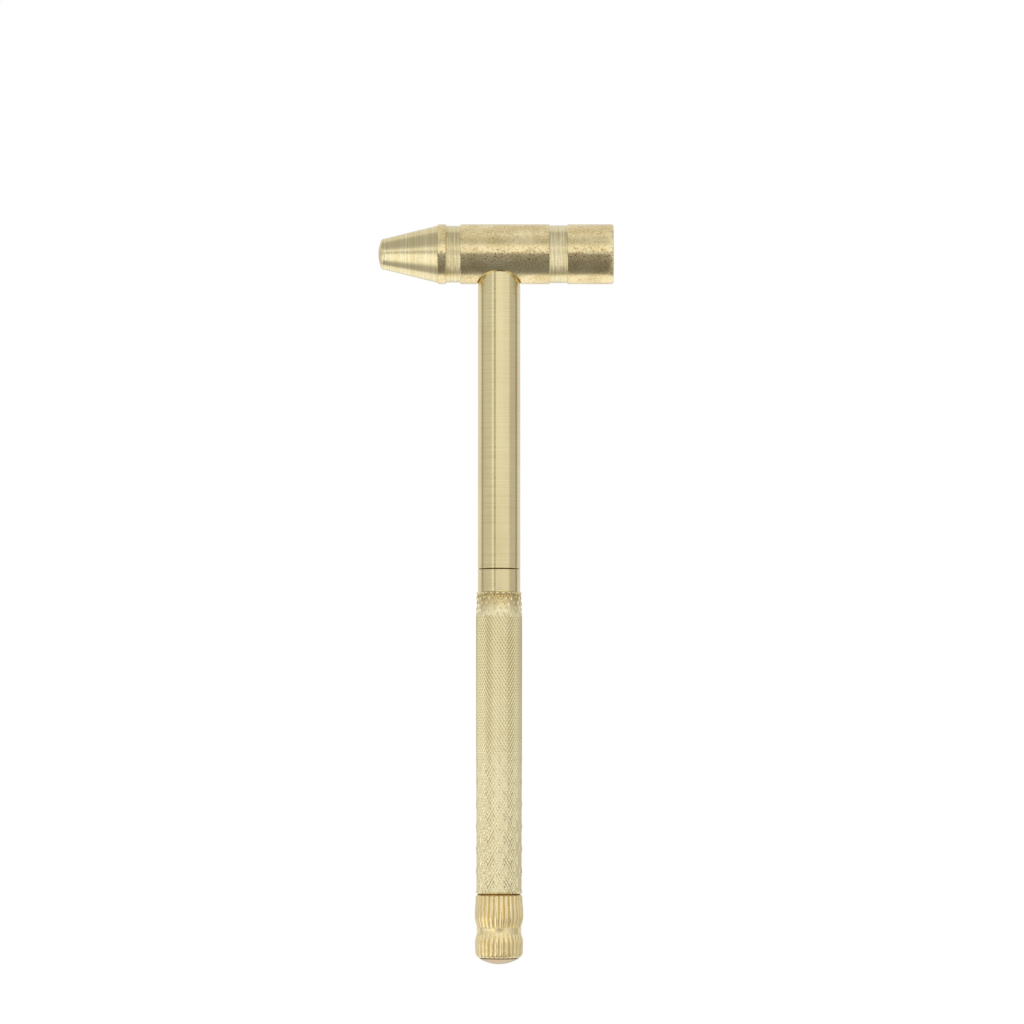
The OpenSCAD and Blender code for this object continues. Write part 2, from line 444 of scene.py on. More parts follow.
tube_outline = [(0, TUBE_HIGH.z), (STUD_R - STUD_CHAMFER, TUBE_HIGH.z)]
tube_outline += threaded_outline(STUD_R, SHOULDER_Z - SEAT, TUBE_HIGH.z - STUD_CHAMFER, COARSE)[::-1]
tube_outline += [(TUBE_R, SHOULDER_Z - SEAT)]
tube_outline += [(TUBE_R, SHOULDER_Z - SEAT - TUBE_RING * i) for i in range(1, TUBE_RINGS + 1)]
tube_outline += [(TUBE_R, TUBE_LOW.z + 1.5 * RIM), (TUBE_R, TUBE_LOW.z + RIM), (TUBE_R - RIM, TUBE_LOW.z)]
tube_outline += [(TAP_R + RIM, TUBE_LOW.z)]
tube_outline += threaded_outline(TAP_R, TUBE_LOW.z + RIM, TAP_TOP, COARSE)
tube_outline += [(BORE_R, TAP_TOP), (BORE_R, BORE_TOP), (0, BORE_TOP)]
tube = turned("shaft_tube_turned", upright(tube_outline))
cut_thread(tube, STUD_R, SHOULDER_Z + RUN_OUT, TUBE_HIGH.z - STUD_CHAMFER, COARSE, COARSE_DEPTH)
cut_thread(tube, TAP_R, TUBE_LOW.z + RIM, TAP_TOP, COARSE, TAP_DEPTH, outwards=True)
smooth(tube)
report(tube)

# %% [markdown]
# ## Knurled grip
# Knurling rolls two sets of slanting grooves into the brass, and what is left between them is a net of small
# flat-topped diamonds. Poking every face of an upright grid of 46 by 54 cells and dissolving the first
# edges gives just that net. Each diamond is then inset on its own and raised, which leaves a V groove all
# round it. The rims of the net go on as rings: up through the collar to the threaded spigot, and down
# round the tail into the bore, so the grip is one closed shell.

# %% Net of diamonds
STARTS = 46
ROWS = 54
GROOVE_DEPTH = 0.1
GROOVE_R = GRIP_R - GROOVE_DEPTH
KNURL_LOW = GRIP_LOW.z + 0.1
COLLAR_TOP = TUBE_LOW.z - 0.05
COLLAR_LOW = COLLAR_TOP - 4.9
KNURL_TOP = COLLAR_LOW - 0.2


def push_to_radius(verts, radius):
    """Moves vertices straight in or out to one radius."""
    for v in verts:
        scale = radius * MM / math.hypot(v.co.x, v.co.y)
        v.co.x *= scale
        v.co.y *= scale


deselect_objects()
bpy.ops.mesh.primitive_cylinder_add(
    vertices=STARTS,
    radius=GROOVE_R * MM,
    depth=(KNURL_TOP - KNURL_LOW) * MM,
    end_fill_type="NOTHING",
    location=(0, 0, (KNURL_TOP + KNURL_LOW) / 2 * MM),
)
grip = named("knurled_grip")
place_in_mesh(grip)
edit_mode()
bpy.ops.mesh.select_mode(type="EDGE")
bpy.ops.mesh.select_all(action="DESELECT")
shell = bmesh.from_edit_mesh(grip.data)
for e in shell.edges:
    e.select = abs(e.verts[0].co.z - e.verts[1].co.z) > MM
bmesh.update_edit_mesh(grip.data)
bpy.ops.mesh.subdivide(number_cuts=ROWS - 1)
shell = bmesh.from_edit_mesh(grip.data)
corners = len(shell.verts)
bpy.ops.mesh.select_all(action="SELECT")
bpy.ops.mesh.poke()
bpy.ops.mesh.select_all(action="DESELECT")
shell = bmesh.from_edit_mesh(grip.data)
shell.verts.index_update()
for e in shell.edges:
    e.select = max(v.index for v in e.verts) < corners and len(e.link_faces) == 2
bmesh.update_edit_mesh(grip.data)
bpy.ops.mesh.dissolve_edges(use_verts=False)
shell = bmesh.from_edit_mesh(grip.data)
push_to_radius(shell.verts, GROOVE_R)
bmesh.update_edit_mesh(grip.data)
print(f"net: {len(shell.faces)} diamonds and rim halves")

# %% Raise the diamonds
GROOVE_WALL = (0.12, 0.076)
CREST_EDGE = (0.045, 0.02)

bpy.ops.mesh.select_mode(type="FACE")
bpy.ops.mesh.select_all(action="SELECT")
for width, rise in (GROOVE_WALL, CREST_EDGE):
    bpy.ops.mesh.inset(thickness=width * MM, depth=rise * MM, use_individual=True)
shell = bmesh.from_edit_mesh(grip.data)
outer = max(math.hypot(v.co.x, v.co.y) for v in shell.verts) / MM
print(f"crests at radius {outer:.3f} mm for a grip of {GRIP_R:.3f} mm")

# %% [markdown]
# The rolling tool is never even. At the collar end it entered deeper and left a few rows of round beads, and
# towards the tail it tracked twice, so a coarser pattern lies over the fine one. Both are moves of the
# vertices in and out along slanting waves, because no operator does that.

# %% Uneven rolling
ROW_HEIGHT = (KNURL_TOP - KNURL_LOW) / ROWS
BEAD_STARTS = 23
BEAD_DEPTH = 0.4
BEAD_WEAR = 0.05
BEAD_FADE = 5.2
BEAD_CURVE = 0.7
SCALE_STARTS = 16
SCALE_DEPTH = 0.15
SCALE_PITCH = 2.4
SCALE_TOP = 34
SCALE_FADE = 22
NET_LOST_TO_BEADS = 0.85
NET_LOST_TO_SCALES = 0.12
HAND_WEAR = 0.02
HAND_AT = 38
HAND_WIDE = 10
TAIL_ROUND = 0.3
RIM_FADE = 0.2


def ridge(turns):
    """A wave from 0 to 1 over each whole turn."""
    return 0.5 + 0.5 * math.cos(FULL_TURN * turns)


def crossing(turns, rows):
    """Two slanting waves multiplied: 1 at each peak of a lattice and 0 in the grooves between."""
    return ridge(turns + rows / 2) * ridge(turns - rows / 2)


def bead_share(z):
    """1 at the collar, falling to 0 where the beads stop."""
    return max(0, 1 - (KNURL_TOP - z) / BEAD_FADE) ** BEAD_CURVE


def scale_share(z):
    """0 above the coarse pattern, growing to 1 down it."""
    return min(1, max(0, (KNURL_LOW + SCALE_TOP - z) / SCALE_FADE))


def rolling_drop(angle, z):
    """How far the surface lies below the full radius, in millimetres."""
    turn = angle / FULL_TURN
    beads = 1 - crossing(BEAD_STARTS * turn, (KNURL_TOP - z) / ROW_HEIGHT)
    drop = bead_share(z) * (BEAD_DEPTH * beads + BEAD_WEAR)
    scales = 1 - crossing(SCALE_STARTS * turn, (z - KNURL_LOW) / SCALE_PITCH)
    drop += SCALE_DEPTH * scale_share(z) * scales
    tail = max(0, 1 - (z - GRIP_LOW.z) / TAIL_ROUND)
    drop += TAIL_ROUND * (1 - math.sqrt(1 - tail ** 2))
    return drop + HAND_WEAR * math.exp(-(((z - KNURL_LOW) - HAND_AT) / HAND_WIDE) ** 2)


def net_left(z):
    """How much of the fine net is left: the beads wipe it out, and the coarse pattern flattens it."""
    return 1 - NET_LOST_TO_BEADS * bead_share(z) - NET_LOST_TO_SCALES * scale_share(z)


for v in shell.verts:
    x, y, z = v.co / MM
    radius = math.hypot(x, y)
    rim = min(1, max(0, (KNURL_TOP - z) / RIM_FADE))
    level = GRIP_R - (GRIP_R - radius) * net_left(z)
    scale = (level - rolling_drop(math.atan2(y, x), z) * rim) / radius
    v.co.x *= scale
    v.co.y *= scale
bmesh.update_edit_mesh(grip.data)

# %% Rings above and below the net
SPIGOT_R = 3.8
MOUTH_R = 4.0
MOUTH_TOP = GRIP_LOW.z + 5.5
GRIP_BORE_R = 3.4
GRIP_BORE_TOP = GRIP_LOW.z + 58
TANG_R = 2.5
TANG_LOW = COLLAR_TOP - 8
RIM_CUTS = 2
TOP_RIM_R = GROOVE_R
TAIL_RIM_ANGLE = 0.2
TAIL_RIM_R = GROOVE_R - rolling_drop(TAIL_RIM_ANGLE, KNURL_LOW)
TAIL_EDGE = 0.12
COLLAR_LINES = (0.3, 0.62)
COLLAR_LINE_DEPTH = 0.012
COLLAR_LINE_HALF = 0.09
SPIGOT_CHAMFER = 0.3
SPIGOT_RUN_OUT = 0.4


def select_rim(high):
    """Selects the net's open rim at one end."""
    bpy.ops.mesh.select_mode(type="EDGE")
    bpy.ops.mesh.select_all(action="DESELECT")
    shell = bmesh.from_edit_mesh(grip.data)
    middle = (KNURL_TOP + KNURL_LOW) / 2 * MM
    for e in shell.edges:
        e.select = e.is_boundary and (e.verts[0].co.z > middle) == high
    bmesh.update_edit_mesh(grip.data)


def round_rim(high):
    """Divides the rim's edges and makes it round again."""
    select_rim(high)
    bpy.ops.mesh.subdivide(number_cuts=RIM_CUTS)
    select_rim(high)
    shell = bmesh.from_edit_mesh(grip.data)
    push_to_radius([v for v in shell.verts if v.select], TOP_RIM_R if high else TAIL_RIM_R)
    bmesh.update_edit_mesh(grip.data)


def grow(outline, r, z):
    """Extrudes the selected ring from (r, z) through every (radius, height) of an outline."""
    for r_next, z_next in outline:
        bpy.ops.mesh.extrude_region_move(TRANSFORM_OT_translate={"value": (0, 0, (z_next - z) * MM)})
        bpy.ops.transform.resize(value=(r_next / r, r_next / r, 1), center_override=(0, 0, z_next * MM))
        r, z = r_next, z_next
    bpy.ops.mesh.edge_face_add()


round_rim(high=True)
above = [(GROOVE_R - 0.02, KNURL_TOP + 0.06), (TUBE_R, COLLAR_LOW)]
for up in COLLAR_LINES:
    above += turned_line(TUBE_R, COLLAR_LOW + up, COLLAR_LINE_DEPTH, COLLAR_LINE_HALF)
above += [(TUBE_R, COLLAR_TOP - 1.5 * RIM), (TUBE_R, COLLAR_TOP - RIM), (TUBE_R - RIM, COLLAR_TOP)]
above += threaded_outline(SPIGOT_R, COLLAR_TOP, GRIP_HIGH.z - SPIGOT_CHAMFER, COARSE)
above += [(SPIGOT_R - SPIGOT_CHAMFER, GRIP_HIGH.z), (TANG_R, GRIP_HIGH.z), (TANG_R, TANG_LOW)]
grow(above, TOP_RIM_R, KNURL_TOP)
round_rim(high=False)
below = [(TAIL_RIM_R - TAIL_EDGE, GRIP_LOW.z), (MOUTH_R + RIM, GRIP_LOW.z)]
below += threaded_outline(MOUTH_R, GRIP_LOW.z + RIM, MOUTH_TOP, COARSE)
below += [(GRIP_BORE_R, MOUTH_TOP), (GRIP_BORE_R, GRIP_BORE_TOP)]
grow(below, TAIL_RIM_R, KNURL_LOW)
bpy.ops.mesh.select_mode(type="VERT")
bpy.ops.mesh.select_all(action="SELECT")
bpy.ops.mesh.normals_make_consistent(inside=False)
object_mode()
spigot = (COLLAR_TOP + SPIGOT_RUN_OUT, GRIP_HIGH.z - SPIGOT_CHAMFER)
cut_thread(grip, SPIGOT_R, *spigot, COARSE, COARSE_DEPTH)
cut_thread(grip, MOUTH_R, GRIP_LOW.z + RIM, MOUTH_TOP, COARSE, TAP_DEPTH, outwards=True)
smooth(grip)
report(grip)

# %% [markdown]
# ## Tail knob
# The knob is turned with a waist and a domed end, and 28 round ribs are formed along it. The ribs stop
# short at the waist from above, leaving small notches, and fade in again below it, round the lower corner
# and down to a turned line at the dome. A Boolean with a ribbed bar would flatten every rib's top
# wherever the body is slim, so the body is spun with eight steps to a rib, and each vertex sinks by the
# depth of the groove at its own angle and height.

# %% Knob body
DOME_R = 8.0
DOME_EDGE_R = 4.2
LOBE_LOW_R = 5.15
LOBE_HIGH_R = 5.27
WAIST_R = 4.78
KNOB_TOP_R = 5.02
KNOB_H = 14.75
NECK_R = 4.7
NECK_TOP = 15.0
CORNER_Z = 2.7
CORNER_WIDE = 1.1
CORNER_TALL = 1.4
CORNER_TURN = 77
CORNER_STEPS = 8
DOME_STEPS = 12
CURVES = [  # radius and height where each starts and ends, and its number of steps
    (LOBE_LOW_R, 3.0, LOBE_LOW_R + 0.06, 4.6, 4),
    (LOBE_LOW_R + 0.06, 4.75, WAIST_R, 7.1, 12),
    (WAIST_R, 7.45, WAIST_R + 0.04, 7.8, 2),
    (WAIST_R + 0.05, 7.88, LOBE_HIGH_R, 10.2, 14),
    (LOBE_HIGH_R, 10.9, KNOB_TOP_R + 0.03, 14.45, 10),
]
STUD_THREADS = [  # radius, height from and to, pitch and depth
    (3.95, NECK_TOP, 20.5, COARSE, COARSE_DEPTH),
    (2.45, 20.5, 25.0, FINE, FINE_DEPTH),
    (1.45, 25.0, 29.0, FINE, FINE_DEPTH),
]
STUD_RUN_IN = 0.3
STUD_RUN_OUT = 0.1
FINE_TANG_R = 0.7
FINE_TANG_LOW = 21.0


def eased(r0, z0, r1, z1, count):
    """A soft S from one (radius, height) to another."""
    return [
        (r0 + (r1 - r0) * (1 - math.cos(math.pi * i / count)) / 2, z0 + (z1 - z0) * i / count)
        for i in range(count + 1)
    ]


dome_angle = math.asin(DOME_EDGE_R / DOME_R)
knob_outline = []
for i in range(DOME_STEPS + 1):
    a = dome_angle * i / DOME_STEPS
    knob_outline.append((DOME_R * math.sin(a), DOME_R * (1 - math.cos(a))))
dome_edge_z = knob_outline[-1][1]
knob_outline += [(DOME_EDGE_R - 0.24, dome_edge_z + 0.05), (DOME_EDGE_R - 0.2, dome_edge_z + 0.15)]
for i in range(CORNER_STEPS + 1):
    a = math.radians(CORNER_TURN * (1 - i / CORNER_STEPS))
    corner_r = LOBE_LOW_R - CORNER_WIDE * (1 - math.cos(a))
    knob_outline.append((corner_r, CORNER_Z - CORNER_TALL * math.sin(a)))
for curve in CURVES:
    knob_outline += eased(*curve)
knob_outline += [(KNOB_TOP_R, KNOB_H - 0.08), (KNOB_TOP_R - 0.08, KNOB_H)]
knob_outline += [(NECK_R, KNOB_H), (NECK_R, NECK_TOP)]
for r, z0, z1, pitch, depth in STUD_THREADS:
    knob_outline += threaded_outline(r, z0, z1, pitch)
knob_outline += [(FINE_TANG_R, KNOB_HIGH.z), (FINE_TANG_R, FINE_TANG_LOW), (0, FINE_TANG_LOW)]
FLUTES = 28
RIB_STEPS = 8
knob = turned("ribbed_knob", upright(knob_outline), steps=FLUTES * RIB_STEPS)
for r, z0, z1, pitch, depth in STUD_THREADS:
    cut_thread(knob, r, z0 + STUD_RUN_IN, z1 - STUD_RUN_OUT, pitch, depth)

# %% Ribs of the knob
RIB_DEPTH = 0.4
RIB_LOW = dome_edge_z + 0.14
RIB_WAIST_LOW = 6.5
RIB_WAIST_HIGH = 7.84
HIGH_START, HIGH_RISE = 0.62, 2.5  # share of the depth at the end of the ribs, and how soon it is full
LOW_START, LOW_RISE = 0.4, 1.2
WAIST_PAST, WAIST_FADE = 0.5, 1.8
RIB_ROUNDNESS = 2.1
TOUCH = 0.01


def groove_depth(z):
    """Full depth on both lobes, nothing on the dome, the waist and the neck."""
    if z < RIB_LOW or z > KNOB_H + TOUCH:
        return 0
    if z > RIB_WAIST_HIGH:
        return RIB_DEPTH * min(1, HIGH_START + (z - RIB_WAIST_HIGH) / HIGH_RISE)
    fade = min(1, max(0, (RIB_WAIST_LOW + WAIST_PAST - z) / WAIST_FADE))
    return RIB_DEPTH * fade * min(1, LOW_START + (z - RIB_LOW) / LOW_RISE)


sunk = 0
for v in knob.data.vertices:
    x, y, z = v.co / MM
    radius = math.hypot(x, y)
    on_dome = radius < DOME_EDGE_R - 0.1
    on_neck = z > KNOB_H - TOUCH and radius < NECK_R + 0.1
    if on_dome or on_neck or not 0 < groove_depth(z):
        continue
    across = abs(2 * ((math.atan2(y, x) / FULL_TURN * FLUTES) % 1) - 1)
    drop = groove_depth(z) * (1 - math.sqrt(max(0, 1 - across ** RIB_ROUNDNESS)))
    v.co.x *= 1 - drop / radius
    v.co.y *= 1 - drop / radius
    sunk += 1
smooth(knob)
print(f"ribs: {sunk} vertices of {FLUTES} ribs")
report(knob)

# %% [markdown]
# ## Driver barrels
# Each inner screwdriver has a plain brass sleeve for a handle, tapered where the blade comes out, tapped at
# the tail and hollow for the next driver. One function makes the section, and the nodes say how long and
# thick each is.

# %% Barrels
NOSE_TAPER = 2.0
NOSE_FLAT = 0.4
LINE_PITCH = 1.5
LINE_DEPTH = 0.02
LINE_HALF = 0.07
SLEEVE_STEPS = 72
SLEEVE_TAP_DEPTH = 0.15


def barrel(name, node, mouth_r, mouth_len, cavity_r, cavity_len, tang_r, tang_len):
    """A lined sleeve in a node's place: tapped mouth and cavity below, the seat of the blade's tang above."""
    low, high = span(node)
    r = high.y
    taper_z = high.z - NOSE_TAPER
    outline = [(0, high.z - tang_len), (tang_r, high.z - tang_len), (tang_r, high.z)]
    outline += [(tang_r + NOSE_FLAT, high.z), (tang_r + 0.5, high.z - 0.1)]
    outline += [(r - 0.06, taper_z + 0.08), (r, taper_z - 0.1)]
    count = int((high.z - low.z - NOSE_TAPER - 1) / LINE_PITCH)
    for i in range(1, count):
        outline += turned_line(r, taper_z - 0.5 - LINE_PITCH * i, LINE_DEPTH, LINE_HALF)[::-1]
    outline += [(r, low.z + RIM), (r - RIM, low.z), (mouth_r + RIM, low.z)]
    outline += threaded_outline(mouth_r, low.z + RIM, low.z + mouth_len, FINE)
    outline += [(cavity_r, low.z + mouth_len), (cavity_r, low.z + cavity_len), (0, low.z + cavity_len)]
    piece = turned(name, upright(outline), steps=SLEEVE_STEPS)
    cut_thread(piece, mouth_r, low.z + RIM, low.z + mouth_len, FINE, SLEEVE_TAP_DEPTH, outwards=True)
    smooth(piece)
    report(piece)
    return piece


medium_sleeve = barrel("medium_sleeve", "medium_barrel", 2.5, 4.55, 2.25, 33.0, 1.5, 4.0)
small_sleeve = barrel("small_sleeve", "small_barrel", 1.5, 4.05, 1.1, 12.45, 0.9, 3.0)

# %% [markdown]
# ## Blades
# A blade is a round steel rod ground to two flats that run out to a thin square tip. A cylinder is cut by two
# leaning planes with Bisect, which also fills the cut, and a small bevel takes the edge off the flats.

# %% Blades
BLADE_SIDES = 48
BEVEL_WIDTH = 0.05
BEVEL_SEGMENTS = 2
BEVEL_ABOVE = math.radians(30)


def ground_blade(name, node, tip_length, tip_thickness):
    """A round rod in a node's place, with two flats that run out to the tip."""
    low, high = span(node)
    r = high.x
    deselect_objects()
    bpy.ops.mesh.primitive_cylinder_add(
        vertices=BLADE_SIDES,
        radius=r * MM,
        depth=(high.z - low.z) * MM,
        location=(0, 0, (high.z + low.z) / 2 * MM),
    )
    piece = named(name)
    place_in_mesh(piece)
    edit_mode()
    for side in (-1, 1):
        bpy.ops.mesh.select_all(action="SELECT")
        corner = Vector((side * tip_thickness / 2, 0, high.z))
        slope = Vector((side * tip_length, 0, r - tip_thickness / 2)).normalized()
        bpy.ops.mesh.bisect(plane_co=corner * MM, plane_no=slope, use_fill=True, clear_outer=True)
    tidy_shell()
    object_mode()
    modifier = piece.modifiers.new("edges", "BEVEL")
    modifier.width = BEVEL_WIDTH * MM
    modifier.segments = BEVEL_SEGMENTS
    modifier.limit_method = "ANGLE"
    modifier.angle_limit = BEVEL_ABOVE
    bpy.ops.object.modifier_apply(modifier=modifier.name)
    smooth(piece)
    report(piece)
    return piece


large_steel = ground_blade("large_steel_blade", "large_blade", 12, 0.9)
medium_steel = ground_blade("medium_steel_blade", "medium_blade", 7, 0.6)
small_steel = ground_blade("small_steel_blade", "small_blade", 4.5, 0.4)
fine_steel = ground_blade("fine_steel_blade", "fine_blade", 3.5, 0.3)

# %% [markdown]
# ## Metals
# Bare metal has no colour of its own under its reflections: its tint is the reflection's tint. So each
# finish here is one metal shader whose tint, roughness and small relief vary with the marks left by how it
# was made. Patterns read Object coordinates, and their scale is one over the size of a mark in metres.

# %% Node helpers
RAMP = "ShaderNodeValToRGB"
MATHS = "ShaderNodeMath"
RANGE = "ShaderNodeMapRange"
MIX = "ShaderNodeMix"
FACTOR, FIRST, SECOND, MIXED = 0, 6, 7, 2  # the colour sockets of a mix node


def linear(hex_colour):
    """An sRGB hex colour as linear red, green, blue and alpha."""
    values = [int(hex_colour[i : i + 2], 16) / 255 for i in (1, 3, 5)]
    return [v / 12.92 if v <= 0.04045 else ((v + 0.055) / 1.055) ** 2.4 for v in values] + [1]


def add(tree, kind, inputs=None, out=None, stops=None, **settings):
    """Adds a node with its settings and links, and returns one of its outputs, or else the node.

    An input is a value or another node's output.
    """
    node = tree.nodes.new(kind)
    for name, value in settings.items():
        setattr(node, name, value)
    for socket, value in (inputs or {}).items():
        if isinstance(value, bpy.types.NodeSocket):
            tree.links.new(value, node.inputs[socket])
        else:
            node.inputs[socket].default_value = value
    if stops:
        ramp = node.color_ramp.elements
        while len(ramp) < len(stops):
            ramp.new(0.5)
        for element, (position, colour) in zip(ramp, stops):
            element.position = position
            grey = not isinstance(colour, str)
            element.color = (colour, colour, colour, 1) if grey else linear(colour)
    return node if out is None else node.outputs[out]


def marks(tree, place, size, stretch=(1, 1, 1), detail=2.0):
    """Noise whose marks are size millimetres across, longer along the axes with a larger stretch."""
    scale = tuple(1 / (size * MM * s) for s in stretch)
    moved = add(tree, "ShaderNodeMapping", {"Vector": place, "Scale": scale}, out="Vector")
    return add(tree, "ShaderNodeTexNoise", {"Vector": moved, "Scale": 1.0, "Detail": detail}, out="Fac")


def between(tree, value, low, high, soft):
    """1 where a value lies between low and high, falling to 0 over soft on both sides."""
    smooth_step = {"interpolation_type": "SMOOTHSTEP", "out": 0}
    rise = add(tree, RANGE, {0: value, 1: low - soft, 2: low + soft}, **smooth_step)
    fall = add(tree, RANGE, {0: value, 1: high - soft, 2: high + soft, 3: 1.0, 4: 0.0}, **smooth_step)
    return add(tree, MATHS, {0: rise, 1: fall}, operation="MULTIPLY", out=0)


def from_axis(tree, parts):
    """Distance from the upright axis, from separated coordinates."""
    squares = [add(tree, MATHS, {0: parts.outputs[i], 1: 2.0}, operation="POWER", out=0) for i in (0, 1)]
    total = add(tree, MATHS, {0: squares[0], 1: squares[1]}, operation="ADD", out=0)
    return add(tree, MATHS, {0: total}, operation="SQRT", out=0)


def metal(name, turned_about=None, anisotropy=0.0):
    """An empty metal; its highlights stretch along the tool marks if it was turned about an axis."""
    material = bpy.data.materials.new(name)
    material.use_nodes = True
    tree = material.node_tree
    tree.nodes.clear()
    shader = add(tree, "ShaderNodeBsdfPrincipled", {"Metallic": 1.0})
    if turned_about:
        shader.inputs["Anisotropic"].default_value = anisotropy
        shader.inputs["Anisotropic Rotation"].default_value = 0.25
        around = add(tree, "ShaderNodeTangent", direction_type="RADIAL", axis=turned_about, out=0)
        tree.links.new(around, shader.inputs["Tangent"])
    add(tree, "ShaderNodeOutputMaterial", {"Surface": shader.outputs[0]})
    return material, tree, shader, add(tree, "ShaderNodeTexCoord", out="Object")


def finish_metal(tree, shader, colour, layers, wear, low, high, relief, distance):
    """Lays colours over the first one where their masks are 1; sets roughness and a relief in millimetres."""
    for mask, over in layers:
        inputs = {FACTOR: mask, FIRST: colour, SECOND: linear(over)}
        colour = add(tree, MIX, inputs, data_type="RGBA", out=MIXED)
    tree.links.new(colour, shader.inputs["Base Color"])
    rough = add(tree, RANGE, {0: wear, 3: low, 4: high}, out=0)
    tree.links.new(rough, shader.inputs["Roughness"])
    bump = add(tree, "ShaderNodeBump", {"Height": relief, "Distance": distance * MM, "Strength": 1.0}, out=0)
    tree.links.new(bump, shader.inputs["Normal"])


# %% [markdown]
# **Turned satin brass** (tube, collar, sleeves): free-cutting brass straight from the tool. The rings of the
# last pass are about 0.1 mm apart. They scatter light up and down but not sideways, so reflections stay
# sharp-edged stripes along the tube: that is anisotropy, with its tangent running round the axis. The rings
# are drawn at 0.25 mm, because finer ones would not show. The joint keeps a line of old oil.

# %% Turned satin brass
JOINT_GRIME = 0.09

satin, tree, shader, place = metal("turned satin brass", turned_about="Z", anisotropy=0.7)
rings = marks(tree, place, 0.25, stretch=(60, 60, 1), detail=3)
haze = marks(tree, place, 7, stretch=(1, 1, 2), detail=3)
up = add(tree, "ShaderNodeSeparateXYZ", {0: place}, out=2)
base = add(tree, RAMP, {0: rings}, stops=[(0.3, "#e3d4a2"), (0.7, "#eddfb1")], out=0)
dull = add(tree, RAMP, {0: haze}, stops=[(0.4, 0.0), (0.7, 0.45)], out=0)
joint = between(tree, up, (COLLAR_TOP - JOINT_GRIME) * MM, (TUBE_LOW.z + JOINT_GRIME) * MM, 0.03 * MM)
finish_metal(tree, shader, base, [(dull, "#d9c596"), (joint, "#8f6f38")], rings, 0.16, 0.24, rings, 0.0012)
print("made", satin.name)

# %% [markdown]
# ** Aged brass** (head): the same bar stock, left to darken with handling. A thin olive film covers it in
# clouds a few millimetres across, with small red-brown spots where it has gone further. The spots are
# painted denser in a belt just below the axis, a painted reflection tone for the browner band under the
# highlight.
# The turned-down bands and the cone were cut last and stay paler. Small pits catch the light as speckle.
# The mouth of the cross hole is brown at its sides, and the rim in front stays pale.

# %% Aged brass
aged, tree, shader, place = metal("aged turned brass", turned_about="X", anisotropy=0.25)
parts = add(tree, "ShaderNodeSeparateXYZ", {0: place})
along, height = parts.outputs[0], parts.outputs[2]
clouds = marks(tree, place, 3.2, stretch=(1.4, 1, 1), detail=5)
spots = marks(tree, place, 0.42, stretch=(1.15, 1, 1), detail=4)
speckle = marks(tree, place, 0.3, detail=2)
rings = marks(tree, place, 0.28, stretch=(1, 60, 60), detail=2)
film = add(tree, RAMP, {0: clouds}, stops=[(0.38, "#f0dfae"), (0.62, "#d8c48c")], out=0)
# The belt where the spots are denser is a painted reflection tone for the browner band under the highlight;
# the spots themselves are patina.
painted_shade_belt = between(tree, height, (HEAD_Z - 2.6) * MM, (HEAD_Z + 0.2) * MM, 1.2 * MM)
painted_shade_belt = add(tree, RANGE, {0: painted_shade_belt, 3: 0.4, 4: 1.0}, out=0)
brown = add(tree, RAMP, {0: spots}, stops=[(0.5, 0.0), (0.64, 0.9)], out=0)
brown = add(tree, MATHS, {0: brown, 1: painted_shade_belt}, operation="MULTIPLY", out=0)
pits = add(tree, RAMP, {0: speckle}, stops=[(0.45, 0.0), (0.7, 0.6)], out=0)
cone = between(tree, along, (HEAD_LOW.x - 1) * MM, (HEAD_LOW.x + CONE_END) * MM, 0.1 * MM)
rear = between(tree, along, (HEAD_LOW.x + RING_END) * MM, (HEAD_LOW.x + REAR_END) * MM, 0.05 * MM)
front = between(tree, along, (HEAD_LOW.x + BARREL_END) * MM, (HEAD_LOW.x + FRONT_END) * MM, 0.05 * MM)
bands = add(tree, MATHS, {0: rear, 1: front}, operation="ADD", out=0)
fresh = add(tree, MATHS, {0: cone, 1: bands}, operation="MAXIMUM", out=0)
fresh = add(tree, MATHS, {0: fresh, 1: 0.8}, operation="MULTIPLY", out=0)
feed = add(tree, RAMP, {0: rings}, stops=[(0.4, 0.0), (0.65, 0.75)], out=0)
feed = add(tree, MATHS, {0: feed, 1: fresh}, operation="MULTIPLY", out=0)
# The mouth of the cross hole is coloured brown where it lies low, at its sides; the rim in front stays pale.
mouth = between(tree, from_axis(tree, parts), 0, (TUBE_R + 0.16) * MM, 0.06 * MM)
under = between(tree, height, 0, (HEAD_Z - 5.6) * MM, 0.3 * MM)
mouth = add(tree, MATHS, {0: mouth, 1: under}, operation="MULTIPLY", out=0)
tip = between(tree, along, (HEAD_LOW.x - 1) * MM, (HEAD_LOW.x + 0.5) * MM, 0.25 * MM)
layers = [
    (brown, "#9c7047"),
    (pits, "#fbf0ca"),
    (fresh, "#dccd9c"),
    (feed, "#f8efcd"),
    (mouth, "#a37c45"),
    (tip, "#d6ba8b"),
]
relief = add(tree, MATHS, {0: speckle, 1: rings}, operation="ADD", out=0)
finish_metal(tree, shader, film, layers, spots, 0.16, 0.34, relief, 0.008)
print("made", aged.name)

# %% [markdown]
# ** Knurled brass** (grip): rolling burnishes the groove walls and leaves the tops of the diamonds dull, which the
# roughness follows. The colour follows the depth: the groove walls are painted pale, a painted sheen, so the
# grooves shine as a bright net, and the tops are darker. The tops carry a fine grain. The deepest hollows,
# where the tool sank deepest, are painted dark as painted shade.

# %% Knurled brass
knurled, tree, shader, place = metal("rolled knurled brass")
radius = from_axis(tree, add(tree, "ShaderNodeSeparateXYZ", {0: place}))
crest = add(tree, RANGE, {0: radius, 1: (GRIP_R - 0.5) * MM, 2: GRIP_R * MM}, out=0)
grain = marks(tree, place, 0.3, detail=4)
haze = marks(tree, place, 6, detail=3)
